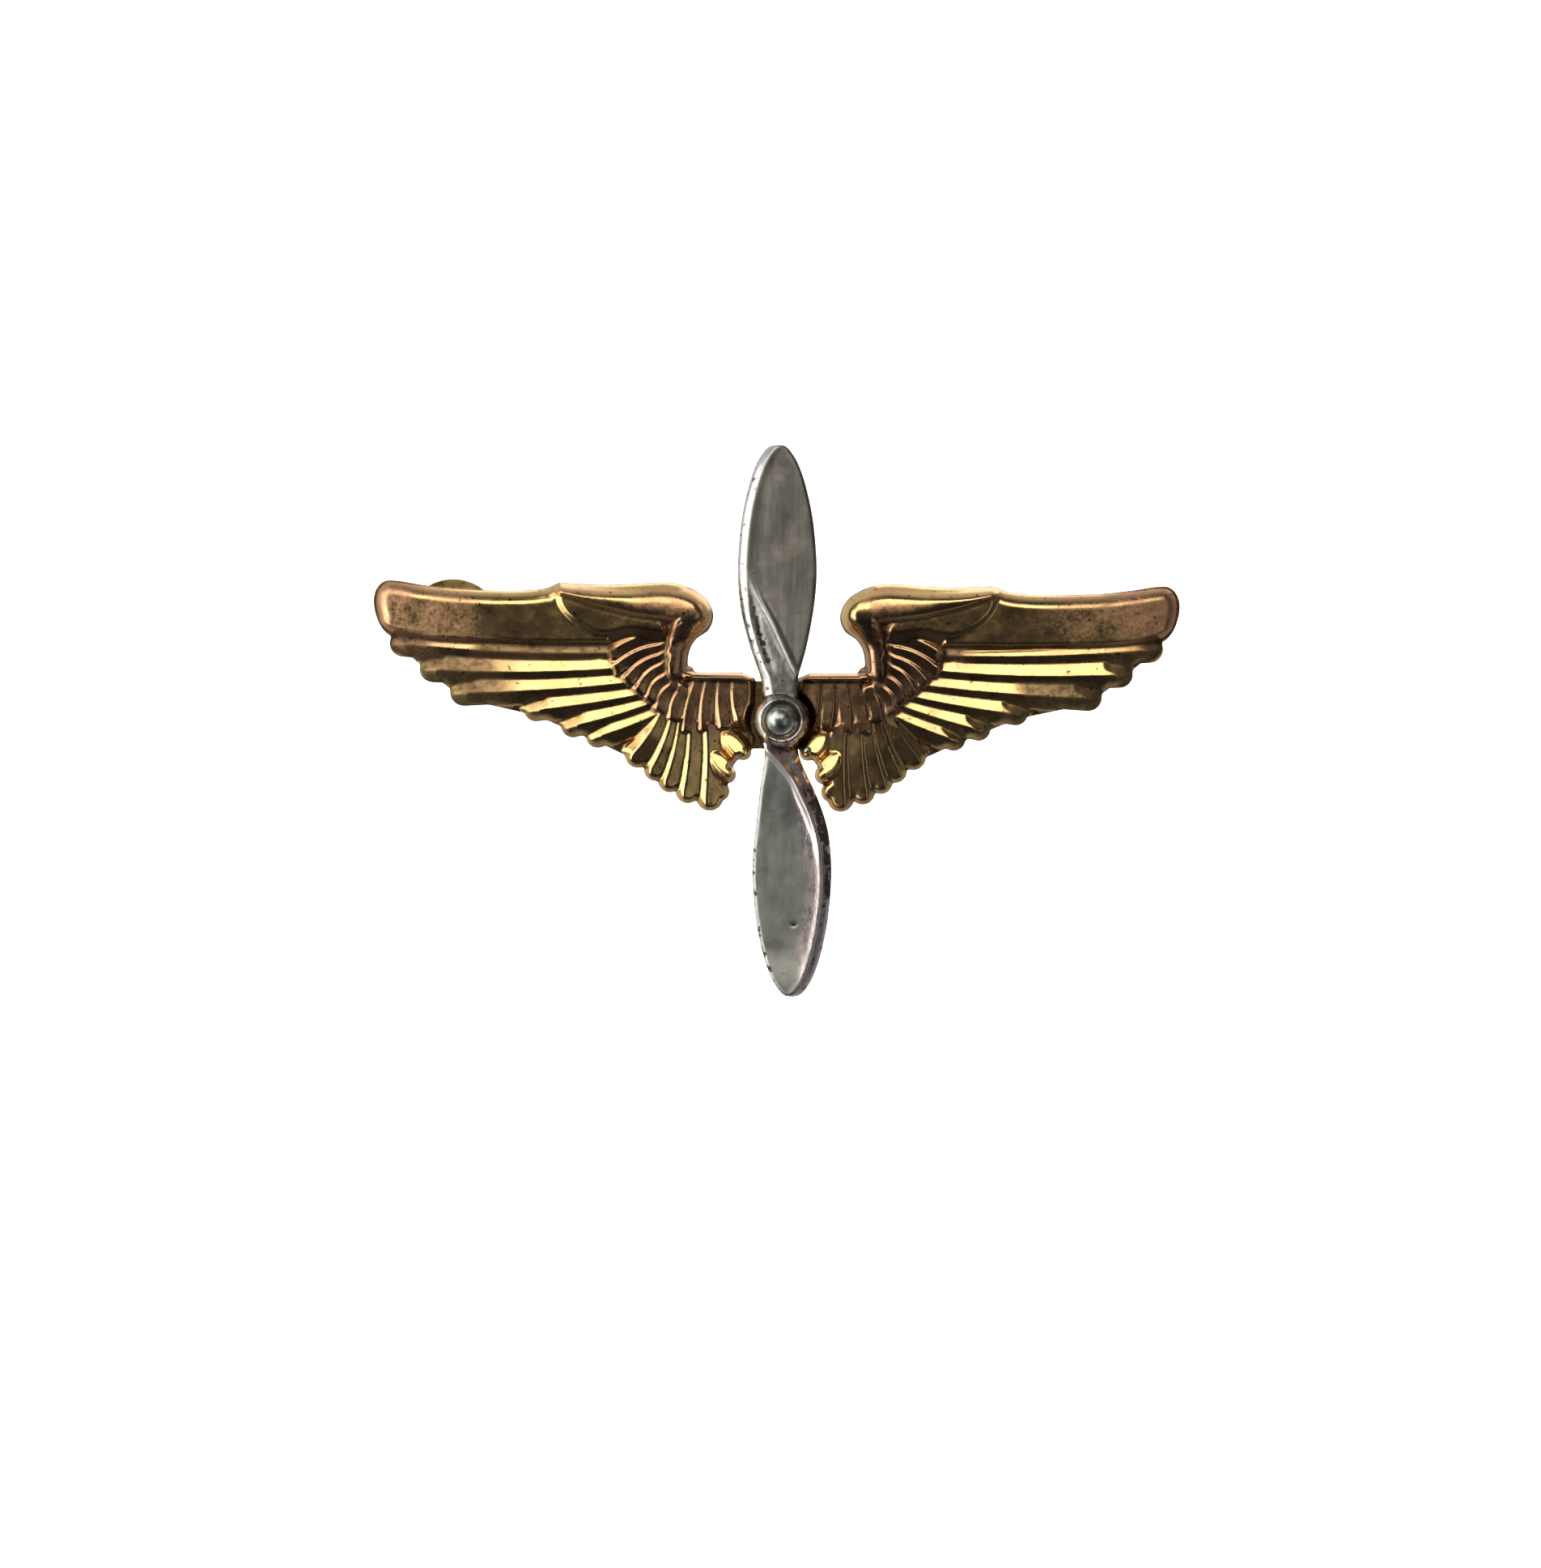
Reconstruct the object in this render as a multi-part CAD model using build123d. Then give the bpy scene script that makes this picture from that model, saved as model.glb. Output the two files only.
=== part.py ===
from build123d import *
import os

# A winged-propeller pin, worn upright. Millimetres.
# +X is the viewer's right, +Z is up, and the front faces -Y.
# "Depth" is the distance towards the viewer, along -Y, from the pin wire's axis.
# The origin is where the pin wire's axis crosses the badge's vertical centre plane.

# ---- driving dimensions: the wings ----
WING_TIP_X = 14.3          # half of the 28.6 mm span
PLATE_BACK = 1.6           # depth of the plate's flat back
PLATE_FRONT = 2.25         # depth of the ground between the feathers
BRIDGE_FRONT = 1.95        # depth of the recessed bridge behind the propeller
BRIDGE_TOP = 0.5
BRIDGE_LOW = -2.1
BRIDGE_WIDTH = 2.0
FEATHER_FRONT = 2.6        # depth of the flight feathers' faces
BAND_FRONT = 2.75          # depth of the smooth leading feather
SHOULDER_FRONT = 3.0       # depth of the shoulder and its lobe
GROOVE = 0.1               # half of the groove left between two feathers
COVERT_R = 0.14            # half width of a covert's ridge

# ---- driving dimensions: the propeller ----
HUB = (0.15, -0.9)         # X and Z of the hub's axis
PROP_TILT = 2.4            # degrees, the top blade leaning to the viewer's left
BLADE_LENGTH = 9.8         # hub axis to blade tip
BLADE_DEPTH = 2.65         # depth of the blades' middle
BLADE_THICK = 0.42         # half thickness at the root
BLADE_THINNING = 0.75      # share of that thickness lost towards the tip
BLADE_END = (0.12, 0.08)   # half width and half thickness at the very tip
HUB_R = 0.95
HUB_RECESS_R = 1.05        # pocket in the wings that the hub sits in
HUB_FRONT = 3.2
RIVET_R = 0.3
RIVET_HEAD_R = 0.5
RIVET_HEAD_H = 0.32
BURR_R = 0.7
BURR_T = 0.2
TAIL_R = 0.42
TAIL_H = 0.2
BEAD_AT = (1.13, -1.95)    # X and Z of the solder drop beside the hub
BEAD_R = 0.14
BEAD_STANDING = 0.6        # share of its radius that the drop's centre stands off the feathers

# ---- driving dimensions: the pin findings ----
STEM_TILT = 7.25           # degrees the wire drops towards the catch
WIRE_R = 0.3
HINGE_S = -11.6            # place of the hinge along the wire's axis
CATCH_S = 5.0              # place of the catch along the wire's axis
WIRE_POINT_S = 6.6         # the wire's sharp end
WIRE_END_R = 0.03
TAPER = 3.0                # length of the ground point
PAD_T = 0.3
HINGE_PAD_R = 1.75
HINGE_PAD_AT = (-11.5, 2.3)
CATCH_PAD_R = 1.4
PIVOT_R = 0.2
PIVOT_HEAD_R = 0.32
PIVOT_HEAD_H = 0.12
PIVOT_CLEARANCE = 0.05
KNUCKLE_R = 0.5
KNUCKLE_W = 0.7            # width between the ears
EAR_T = 0.3
EAR_R = 0.6
EAR_GAP = 0.04
WEB_T = 0.25
NECK_T = 0.8               # front to back
NECK_LENGTH = 1.1
SOCKET_START = 0.45
TANG_W = 0.4               # the wire's square tang, held in the knuckle's socket
FLARE_R = 0.38             # the wire flares out where it meets the knuckle
FLARE_LENGTH = 0.2
CATCH_R = 1.3
CATCH_BORE_R = 0.95
CATCH_W = 1.6
CATCH_MOUTH = 1.04         # width of the housing's mouth
CATCH_FOOT_W = 1.2
LEVER_SLOT_W = 0.6
LEVER_SLOT_END = 150       # degrees from the mouth's middle
ROTOR_R = 0.9
ROTOR_BORE_R = 0.42
ROTOR_W = 1.6
ROTOR_SLOT = 0.76
LEVER_AT = 45              # degrees from the mouth's middle, unlocked
LEVER_W = 0.5
LEVER_T = 0.28
LEVER_TIP_R = 1.75
LEVER_ROOT = 0.2           # how far outside the rotor's bore the lever starts

# Raised strip of the leading feather: its two ends and its half width at each.
BAND = ((6.4, 2.7), (13.3, 2.98), 0.60, 0.75)

# The raised lobe from the leading edge in to the shoulder: X and Z, half width.
LOBE = [((7.4, 3.4), 0.30), ((4.0, 3.1), 0.55), ((3.1, 2.9), 0.60)]

# Flight feathers of the wing on the viewer's right, from the top one down:
# root X and Z, centre of the round tip X and Z, half width at root and at tip.
FEATHERS = [
    ((6.0, 1.45), (13.15, 1.60), 0.30, 0.40),
    ((5.6, 0.85), (12.15, 0.68), 0.28, 0.38),
    ((5.1, 0.35), (10.95, -0.15), 0.26, 0.38),
    ((4.7, -0.05), (8.50, -0.68), 0.26, 0.34),
    ((4.4, -0.35), (7.20, -1.18), 0.24, 0.34),
    ((4.2, -0.70), (6.30, -1.56), 0.22, 0.32),
    ((3.9, -0.85), (4.90, -2.12), 0.22, 0.36),
    ((3.6, -1.00), (4.20, -2.66), 0.22, 0.34),
    ((3.3, -1.15), (3.60, -3.12), 0.20, 0.36),
    ((2.9, -1.25), (2.95, -3.50), 0.20, 0.36),
    ((2.3, -1.35), (2.24, -3.72), 0.20, 0.36),
    ((1.5, -1.35), (1.72, -2.60), 0.20, 0.34),
    ((1.1, -1.20), (1.22, -2.00), 0.18, 0.30),
]

# Covert ridges, the short fan over the flight feathers' roots: outer end, inner end.
COVERTS = [
    ((5.8, 1.49), (4.2, 2.08)),
    ((5.6, 0.96), (4.2, 1.59)),
    ((5.2, 0.56), (4.2, 1.30)),
    ((4.8, 0.19), (4.1, 0.96)),
    ((4.4, -0.10), (3.9, 0.57)),
    ((4.1, -0.45), (3.7, 0.23)),
    ((3.6, -0.73), (3.4, 0.00)),
    ((3.1, -1.22), (2.8, -0.10)),
    ((2.5, -1.13), (2.4, -0.10)),
    ((1.8, -1.03), (1.9, -0.21)),
    ((1.2, -0.79), (1.3, -0.21)),
]

# Half widths of a propeller blade along its length.
BLADE_WIDTHS = [(0.0, 0.45), (1.3, 0.62), (2.6, 1.00), (4.0, 1.30), (5.4, 1.40), (7.1, 1.31), (8.2, 1.09),
                (9.0, 0.80), (9.5, 0.48)]
ROOT_TWIST = 52            # degrees
TIP_TWIST = 12


def front_plane(depth):
    """A plane facing the viewer: its X is the frame's X and its Y is the frame's Z."""
    return Plane.XZ.offset(depth)


def slab(face, back, front):
    """A flat face thickened from one depth to another."""
    return extrude(front_plane(back) * face, front - back)


def disc(at, radius, back, front):
    return slab(Pos(*at) * Circle(radius), back, front)


def tapered_bar(start, end, start_r, end_r):
    """The outline round two circles of different size."""
    first = Pos(*start) * Circle(start_r)
    last = Pos(*end) * Circle(end_r)
    return make_hull(first.edges() + last.edges())


def arm_outline():
    """The smooth leading feather with the shoulder and the neck."""
    top = Spline((14.05, 3.9), (12.6, 3.72), (10.0, 3.57), (8.1, 3.62))
    nub = Spline((8.1, 3.62), (7.75, 3.86), (6.5, 3.83), (4.6, 3.88), (3.2, 3.78), (2.5, 3.4), (2.26, 2.85))
    under = Spline((2.26, 2.85), (2.42, 2.3), (2.89, 1.92), (3.14, 1.4), (3.2, 0.5))
    inside = Polyline((3.2, 0.5), (5.2, 0.5), (6.2, 1.5), (13.3, 1.8), (13.75, 2.1))
    tip = Spline((13.75, 2.1), (14.15, 2.55), (WING_TIP_X, 3.3), (14.05, 3.9))
    return make_face([top, nub, under, inside, tip])


def body_outline():
    """The covert area, down to the roots of the feathers and in to the recessed bridge."""
    inner = Polyline((5.4, 1.6), (3.2, 1.6), (3.16, 0.74), (1.2, 0.74), (0.74, 0.5), (0.76, -0.1))
    low = Polyline((0.76, -0.1), (0.86, -1.3), (0.86, -1.9), (1.3, -2.4), (1.62, -3.2))
    outer = Polyline((1.62, -3.2), (3.2, -3.2), (4.6, -2.0), (6.2, -1.2), (6.2, 1.6), (5.4, 1.6))
    return make_face([inner, low, outer])


def lobe_outline():
    (outer, outer_r), (middle, middle_r), (inner, inner_r) = LOBE
    return tapered_bar(outer, middle, outer_r, middle_r) + tapered_bar(middle, inner, middle_r, inner_r)


def web_outline():
    """The plate between the flight feathers: it runs from tip to tip, so the notches stay shallow."""
    tips = [tip for _, tip, _, _ in FEATHERS]
    return make_face(Polyline((3.0, 1.0), (13.6, 2.4), *tips, (3.0, 1.0)))


def right_wing():
    plate = slab(arm_outline(), PLATE_BACK, PLATE_FRONT)
    plate += slab(body_outline(), PLATE_BACK, PLATE_FRONT)
    plate += slab(web_outline(), PLATE_BACK, PLATE_FRONT)
    for root, tip, root_r, tip_r in FEATHERS:
        plate += slab(tapered_bar(root, tip, root_r, tip_r), PLATE_BACK, PLATE_FRONT)
        face = tapered_bar(root, tip, root_r - GROOVE, tip_r - GROOVE)
        plate += slab(face, PLATE_FRONT, FEATHER_FRONT)
    plate += slab(tapered_bar(*BAND), PLATE_FRONT, BAND_FRONT)
    for outer, inner in COVERTS:
        plate += slab(tapered_bar(outer, inner, COVERT_R, COVERT_R), PLATE_FRONT, BAND_FRONT)
    plate += slab(lobe_outline(), PLATE_FRONT, SHOULDER_FRONT)
    return plate


def wings_plate():
    wing = right_wing()
    bridge = Pos(0, (BRIDGE_TOP + BRIDGE_LOW) / 2) * Rectangle(BRIDGE_WIDTH, BRIDGE_TOP - BRIDGE_LOW)
    plate = wing + mirror(wing, about=Plane.YZ) + slab(bridge, PLATE_BACK, BRIDGE_FRONT)
    plate -= on_hub(disc((0, 0), HUB_RECESS_R, BRIDGE_FRONT, SHOULDER_FRONT))
    return plate - on_hub(disc((0, 0), RIVET_R, PLATE_BACK, BRIDGE_FRONT))


def on_hub(shape):
    """Move a shape made round the origin to the hub's axis."""
    return Pos(HUB[0], 0, HUB[1]) * shape


def blade():
    """One twisted blade, standing up from the hub's axis."""
    sections = []
    for along, half_width in BLADE_WIDTHS:
        share = along / BLADE_LENGTH
        twist = ROOT_TWIST * (1 - share) ** 2 + TIP_TWIST
        half_thick = BLADE_THICK * (1 - BLADE_THINNING * share)
        sections.append(Pos(0, -BLADE_DEPTH, along) * Rot(0, 0, -twist) * Ellipse(half_width, half_thick))
    tip = Pos(0, -BLADE_DEPTH, BLADE_LENGTH) * Rot(0, 0, -TIP_TWIST) * Ellipse(*BLADE_END)
    return loft(sections + [tip])


def propeller():
    upper = blade()
    lower = Rot(0, 180, 0) * upper
    hub = disc((0, 0), HUB_R, BRIDGE_FRONT, HUB_FRONT)
    body = upper + lower + hub
    body -= disc((0, 0), HUB_R + BLADE_LENGTH, 0, BRIDGE_FRONT)
    body -= disc((0, 0), RIVET_R, 0, HUB_FRONT + 1)
    return on_hub(Rot(0, -PROP_TILT, 0) * body)


def hub_rivet():
    shank = disc((0, 0), RIVET_R, PLATE_BACK - BURR_T, HUB_FRONT)
    tail = disc((0, 0), TAIL_R, PLATE_BACK - BURR_T - TAIL_H, PLATE_BACK - BURR_T)
    dome_r = (RIVET_HEAD_R ** 2 + RIVET_HEAD_H ** 2) / (2 * RIVET_HEAD_H)
    ball = Pos(0, -(HUB_FRONT + RIVET_HEAD_H - dome_r), 0) * Sphere(dome_r)
    head = ball & disc((0, 0), HUB_R, HUB_FRONT, HUB_FRONT + 1)
    return on_hub(shank + tail + head)


def rivet_burr():
    ring = Circle(BURR_R) - Circle(RIVET_R)
    return on_hub(slab(ring, PLATE_BACK - BURR_T, PLATE_BACK))


def solder_bead():
    ball = Pos(BEAD_AT[0], -(FEATHER_FRONT + BEAD_R * BEAD_STANDING), BEAD_AT[1]) * Sphere(BEAD_R)
    return ball & disc(BEAD_AT, 2 * BEAD_R, FEATHER_FRONT, FEATHER_FRONT + 2 * BEAD_R)


def along_stem(shape, s=0):
    """Move a shape made along X, round the wire's axis, to its place on the tilted axis."""
    return Rot(0, STEM_TILT, 0) * Pos(s, 0, 0) * shape


def hinge_pad():
    return disc(HINGE_PAD_AT, HINGE_PAD_R, PLATE_BACK - PAD_T, PLATE_BACK)


def hinge_bracket():
    half_gap = KNUCKLE_W / 2 + EAR_GAP
    web_back = PLATE_BACK - PAD_T
    ear = Circle(EAR_R) + Pos(0, -web_back / 2) * Rectangle(2 * EAR_R, web_back)
    ear -= Circle(PIVOT_R)
    ears = []
    for side in (-1, 1):
        middle = side * (half_gap + EAR_T / 2)
        ears.append(Pos(0, 0, middle - EAR_T / 2) * extrude(ear, EAR_T))
    web = Pos(0, -web_back + WEB_T / 2, 0) * Box(2 * EAR_R, WEB_T, 2 * (half_gap + EAR_T))
    return along_stem(ears[0] + ears[1] + web, HINGE_S)


def hinge_pin():
    half = KNUCKLE_W / 2 + EAR_GAP + EAR_T
    shaft = Cylinder(PIVOT_R, 2 * half)
    heads = Pos(0, 0, half + PIVOT_HEAD_H / 2) * Cylinder(PIVOT_HEAD_R, PIVOT_HEAD_H)
    heads += Pos(0, 0, -half - PIVOT_HEAD_H / 2) * Cylinder(PIVOT_HEAD_R, PIVOT_HEAD_H)
    return along_stem(shaft + heads, HINGE_S)


def tang(start, end):
    """The square bar between two places along the wire's axis."""
    return Pos((start + end) / 2, 0, 0) * Box(end - start, TANG_W, TANG_W)


def stem_knuckle():
    barrel = Cylinder(KNUCKLE_R, KNUCKLE_W)
    neck = Pos(NECK_LENGTH / 2, 0, 0) * Box(NECK_LENGTH, NECK_T, KNUCKLE_W)
    bore = Cylinder(PIVOT_R + PIVOT_CLEARANCE, 2 * KNUCKLE_W)
    return along_stem(barrel + neck - bore - tang(SOCKET_START, NECK_LENGTH), HINGE_S)


def pin_wire():
    start = HINGE_S + NECK_LENGTH
    taper_at = WIRE_POINT_S - TAPER
    flare = [(start, 0), (start, FLARE_R), (start + FLARE_LENGTH, WIRE_R)]
    point = [(taper_at, WIRE_R), (WIRE_POINT_S, WIRE_END_R), (WIRE_POINT_S, 0)]
    outline = Polyline(*flare, *point, flare[0])
    wire = revolve(make_face(outline), axis=Axis.X)
    return along_stem(wire + tang(HINGE_S + SOCKET_START, start))


def catch_pad():
    pad = Pos(0, -PLATE_BACK + PAD_T / 2, 0) * Rot(90, 0, 0) * Cylinder(CATCH_PAD_R, PAD_T)
    return along_stem(pad, CATCH_S)


def polar(radius, angle):
    """A point across the wire's axis; 0 degrees is straight back and 90 is up."""
    point = Vector(radius, 0).rotate(Axis.Z, angle)
    return (point.X, point.Y)


def wedge(radius, first, last, width):
    """A wedge about the wire's axis from one angle to another."""
    arc = ThreePointArc(polar(radius, first), polar(radius, (first + last) / 2), polar(radius, last))
    sides = Polyline(polar(radius, last), (0, 0), polar(radius, first))
    return across_stem(make_face([arc, sides]), width)


def across_stem(face, width):
    """A face across the wire's axis, thickened both ways; its X is back and its Y is up."""
    plane = Plane(origin=(0, 0, 0), x_dir=(0, 1, 0), z_dir=(1, 0, 0))
    return extrude(plane * face, width / 2, both=True)


def catch_housing():
    foot_depth = PLATE_BACK - PAD_T
    ring = Circle(CATCH_R) + Pos(-foot_depth / 2, 0) * Rectangle(foot_depth, CATCH_FOOT_W)
    ring -= Circle(CATCH_BORE_R)
    ring -= Pos(CATCH_R, 0) * Rectangle(2 * CATCH_R, CATCH_MOUTH)
    body = across_stem(ring, CATCH_W)
    body -= wedge(2 * CATCH_R, 0, LEVER_SLOT_END, LEVER_SLOT_W)
    return along_stem(body, CATCH_S)


def catch_rotor():
    sleeve = Circle(ROTOR_R) - Circle(ROTOR_BORE_R)
    sleeve -= Pos(ROTOR_R, 0) * Rectangle(2 * ROTOR_R, ROTOR_SLOT)
    body = across_stem(sleeve, ROTOR_W)
    start = ROTOR_BORE_R + LEVER_ROOT
    reach = LEVER_TIP_R - start
    lever = Rot(0, 0, LEVER_AT) * Pos(start + reach / 2, 0) * Rectangle(reach, LEVER_T)
    body += across_stem(lever, LEVER_W)
    return along_stem(body, CATCH_S)


NODES = {
    "wings_plate": wings_plate,
    "propeller": propeller,
    "hub_rivet": hub_rivet,
    "rivet_burr": rivet_burr,
    "solder_bead": solder_bead,
    "hinge_pad": hinge_pad,
    "hinge_bracket": hinge_bracket,
    "hinge_pin": hinge_pin,
    "stem_knuckle": stem_knuckle,
    "pin_wire": pin_wire,
    "catch_pad": catch_pad,
    "catch_housing": catch_housing,
    "catch_rotor": catch_rotor,
}

os.makedirs("parts", exist_ok=True)
for name, build in NODES.items():
    export_step(build(), os.path.join("parts", name + ".step"))
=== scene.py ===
import bpy
import math
import numpy as np
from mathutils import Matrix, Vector


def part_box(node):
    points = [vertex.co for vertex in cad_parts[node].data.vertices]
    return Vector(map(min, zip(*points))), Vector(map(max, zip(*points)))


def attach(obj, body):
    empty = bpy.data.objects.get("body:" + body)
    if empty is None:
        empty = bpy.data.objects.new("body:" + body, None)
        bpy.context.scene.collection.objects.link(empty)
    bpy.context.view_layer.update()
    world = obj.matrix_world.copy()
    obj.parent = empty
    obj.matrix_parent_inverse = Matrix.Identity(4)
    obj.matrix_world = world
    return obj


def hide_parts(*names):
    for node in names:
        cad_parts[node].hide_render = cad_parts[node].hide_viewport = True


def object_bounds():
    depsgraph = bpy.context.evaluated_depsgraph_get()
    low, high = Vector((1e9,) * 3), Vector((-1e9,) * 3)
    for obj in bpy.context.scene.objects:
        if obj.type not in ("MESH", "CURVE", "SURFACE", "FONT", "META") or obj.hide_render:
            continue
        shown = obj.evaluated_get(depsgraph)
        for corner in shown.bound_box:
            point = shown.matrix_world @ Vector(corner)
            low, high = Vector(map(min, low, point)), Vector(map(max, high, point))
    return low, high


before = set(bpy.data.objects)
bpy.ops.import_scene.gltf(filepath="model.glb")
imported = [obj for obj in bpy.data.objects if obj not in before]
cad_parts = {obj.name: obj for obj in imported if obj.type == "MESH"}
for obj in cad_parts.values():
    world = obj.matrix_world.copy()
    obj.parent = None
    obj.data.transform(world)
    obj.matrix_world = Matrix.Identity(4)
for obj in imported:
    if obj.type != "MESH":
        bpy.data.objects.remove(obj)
cad_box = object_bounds()

# A winged-propeller pin, front towards -Y. Lengths in the sculpting part are millimetres;
# "depth" is the distance towards the viewer, along -Y. Objects are made in metres.
MM = 0.001


# ---------------------------------------------------------------- places read from the frame

def box_mm(node):
    low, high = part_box(node)
    return low / MM, high / MM


PLATE_HIGH = box_mm("wings_plate")[1]
RIVET_LOW, RIVET_HIGH = box_mm("hub_rivet")
PROP_LOW, PROP_HIGH = box_mm("propeller")

WING_TIP_X = PLATE_HIGH.x
PLATE_BACK = -PLATE_HIGH.y
BRIDGE_FRONT = -PROP_HIGH.y
HUB_X = (RIVET_LOW.x + RIVET_HIGH.x) / 2
HUB_Z = (RIVET_LOW.z + RIVET_HIGH.z) / 2
BLADE_LENGTH = (PROP_HIGH.z - PROP_LOW.z) / 2


# ---------------------------------------------------------------- sculpting: fields on a grid

def smoothstep(value, low, high):
    t = np.clip((value - low) / (high - low), 0, 1)
    return t * t * (3 - 2 * t)


def smooth_line(points, steps=8):
    """A Catmull-Rom curve through the points, as a list of points."""
    ends = [2 * np.array(points[0]) - points[1], 2 * np.array(points[-1]) - points[-2]]
    p = np.array([ends[0], *points, ends[1]], float)
    t = np.linspace(0, 1, steps, endpoint=False)[:, None]
    line = []
    for a, b, c, d in zip(p, p[1:], p[2:], p[3:]):
        line.extend(0.5 * (2 * b + (c - a) * t + (2 * a - 5 * b + 4 * c - d) * t ** 2
                           + (3 * b - a - 3 * c + d) * t ** 3))
    line.append(p[-2])
    return [tuple(q) for q in line]


def polygon_distance(x, z, corners):
    """Distance to a closed polygon's edge, negative inside."""
    best = np.full(x.shape, 1e9)
    inside = np.zeros(x.shape, bool)
    for (ax, az), (bx, bz) in zip(corners, corners[1:] + corners[:1]):
        ex, ez = bx - ax, bz - az
        length2 = ex * ex + ez * ez
        if length2 == 0:
            continue
        t = np.clip(((x - ax) * ex + (z - az) * ez) / length2, 0, 1)
        best = np.minimum(best, np.hypot(x - ax - t * ex, z - az - t * ez))
        crosses = (az > z) != (bz > z)
        inside ^= crosses & (x < ax + (z - az) * ex / (ez if ez else 1e-9))
    return np.where(inside, -best, best)


def bar(x, z, start, end, start_r, end_r, bend=0.0):
    """Local coordinates of a tapered bar with round ends: along, across, its length, distance to its edge.

    Across is positive on the right-hand side of the way from start to end. A bend bows the bar's middle.
    """
    ex, ez = end[0] - start[0], end[1] - start[1]
    length = math.hypot(ex, ez)
    ex, ez = ex / length, ez / length
    along = (x - start[0]) * ex + (z - start[1]) * ez
    share = np.clip(along / length, 0, 1)
    across = (x - start[0]) * ez - (z - start[1]) * ex - bend * 4 * share * (1 - share)
    radius = start_r + (end_r - start_r) * share
    distance = np.hypot(across, along - share * length) - radius
    return along, across, length, distance


def path_distance(x, z, path):
    """Distance to the edge of a thick line, and its thickness beside each place.

    The line's points are X, Z and how thick it is on its left-hand and its right-hand side.
    """
    best = np.full(x.shape, 1e9)
    beside = np.ones(x.shape)
    for (ax, az, a_left, a_right), (bx, bz, b_left, b_right) in zip(path, path[1:]):
        ex, ez = bx - ax, bz - az
        t = np.clip(((x - ax) * ex + (z - az) * ez) / (ex * ex + ez * ez), 0, 1)
        left = a_left + (b_left - a_left) * t
        right = a_right + (b_right - a_right) * t
        off = np.hypot(x - ax - t * ex, z - az - t * ez)
        turn = (ex * (z - az) - ez * (x - ax)) / math.hypot(ex, ez) / np.maximum(off, 1e-6)
        thick = right + (left - right) * smoothstep(turn, -0.3, 0.7)
        nearer = off - thick < best
        best = np.where(nearer, off - thick, best)
        beside = np.where(nearer, thick, beside)
    return best, beside


def rounded(distance, radius):
    """0 at an edge and 1 further in than the radius, as a quarter circle."""
    t = np.clip(-distance / radius, 0, 1)
    return np.sqrt(1 - (1 - t) ** 2)


def soften(grid, passes):
    """Blurs a grid a little, so that creases get a small radius."""
    for _ in range(passes):
        wide = np.pad(grid, 1, mode="edge")
        beside = wide[:-2, 1:-1] + wide[2:, 1:-1] + wide[1:-1, :-2] + wide[1:-1, 2:]
        grid = (wide[1:-1, 1:-1] * 4 + beside * 2
                + wide[:-2, :-2] + wide[2:, :-2] + wide[:-2, 2:] + wide[2:, 2:]) / 16
    return grid


def value_noise(x, z, size, seed):
    """Smooth noise from -1 to 1 with features of about the given size."""
    table = np.random.default_rng(seed).uniform(-1, 1, (128, 128))
    u, v = x / size + 61.7, z / size + 57.3
    i, j = np.floor(u).astype(int), np.floor(v).astype(int)
    fu, fv = u - i, v - j
    fu, fv = fu * fu * (3 - 2 * fu), fv * fv * (3 - 2 * fv)
    a, b = table[i % 128, j % 128], table[(i + 1) % 128, j % 128]
    c, d = table[i % 128, (j + 1) % 128], table[(i + 1) % 128, (j + 1) % 128]
    return (a * (1 - fu) + b * fu) * (1 - fv) + (c * (1 - fu) + d * fu) * fv


# ---------------------------------------------------------------- from fields to a closed mesh

CHAMFER = 0.05            # on the edge of a flat back: width, and depth above the back
CHAMFER_DEPTH = 0.09


def grid_cells(inside):
    """Cells of the grid with at least one corner inside, as the index of their low corner."""
    some = inside[:-1, :-1] | inside[1:, :-1] | inside[1:, 1:] | inside[:-1, 1:]
    return np.argwhere(some)


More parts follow.
